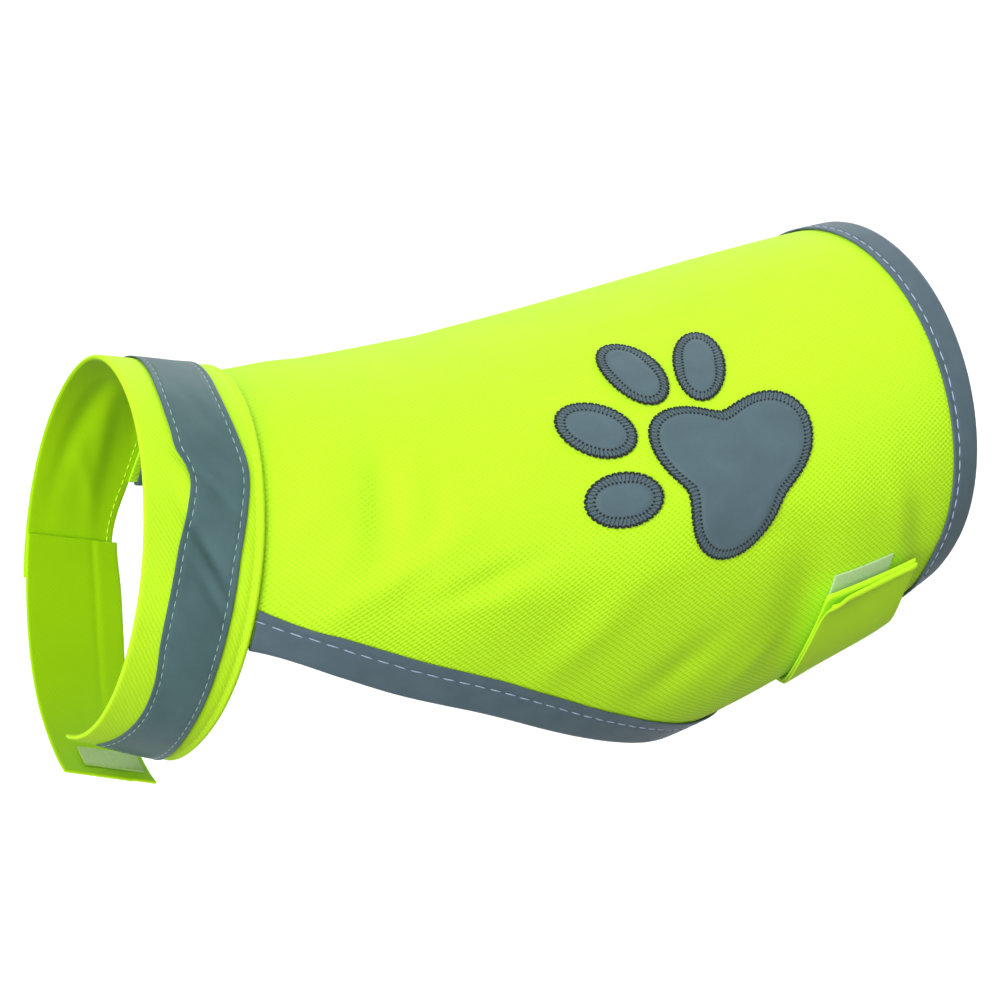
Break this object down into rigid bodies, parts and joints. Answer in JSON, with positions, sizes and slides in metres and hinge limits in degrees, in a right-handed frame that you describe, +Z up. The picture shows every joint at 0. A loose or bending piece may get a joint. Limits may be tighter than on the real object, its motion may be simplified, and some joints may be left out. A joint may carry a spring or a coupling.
{
  "type": "dog safety vest garment",
  "caption": "Hi-vis dog vest held in its worn shape: collar with reflective tape, back and flank panel with bound edges, belly strap and a grey paw motif.",
  "frame": {"origin": "under the spine, where the wearer's back carries the vest", "axes": "+X from the neck to the hem, -Y the near flank with the paw motif, +Z up from the back"},
  "size_m": [0.3035, 0.1558, 0.1627],
  "materials": {
    "main_panel": "fluorescent yellow woven polyester",
    "collar_band": "fluorescent yellow woven polyester, double",
    "collar_tape": "grey retroreflective tape",
    "collar_tab": "fluorescent yellow woven polyester",
    "collar_hook_strip": "pale nylon hook tape",
    "near_leg_binding": "grey retroreflective binding",
    "far_leg_binding": "grey retroreflective binding",
    "hem_binding": "grey retroreflective binding",
    "belly_strap": "fluorescent yellow woven polyester, double",
    "belly_fastener_patch": "pale nylon loop tape",
    "paw_pad": "grey retroreflective cloth",
    "paw_toe_front_top": "grey retroreflective cloth",
    "paw_toe_rear_top": "grey retroreflective cloth",
    "paw_toe_middle": "grey retroreflective cloth",
    "paw_toe_low": "grey retroreflective cloth"
  },
  "bodies": {
    "root": {"main_panel": "main_panel", "collar_band": "collar_band", "collar_tape": "collar_tape", "collar_tab": "collar_tab", "collar_hook_strip": "collar_hook_strip", "near_leg_binding": "near_leg_binding", "far_leg_binding": "far_leg_binding", "hem_binding": "hem_binding", "belly_strap": "belly_strap", "belly_fastener_patch": "belly_fastener_patch", "paw_pad": "paw_pad", "paw_toe_front_top": "paw_toe_front_top", "paw_toe_rear_top": "paw_toe_rear_top", "paw_toe_middle": "paw_toe_middle", "paw_toe_low": "paw_toe_low"}
  },
  "joints": []
}
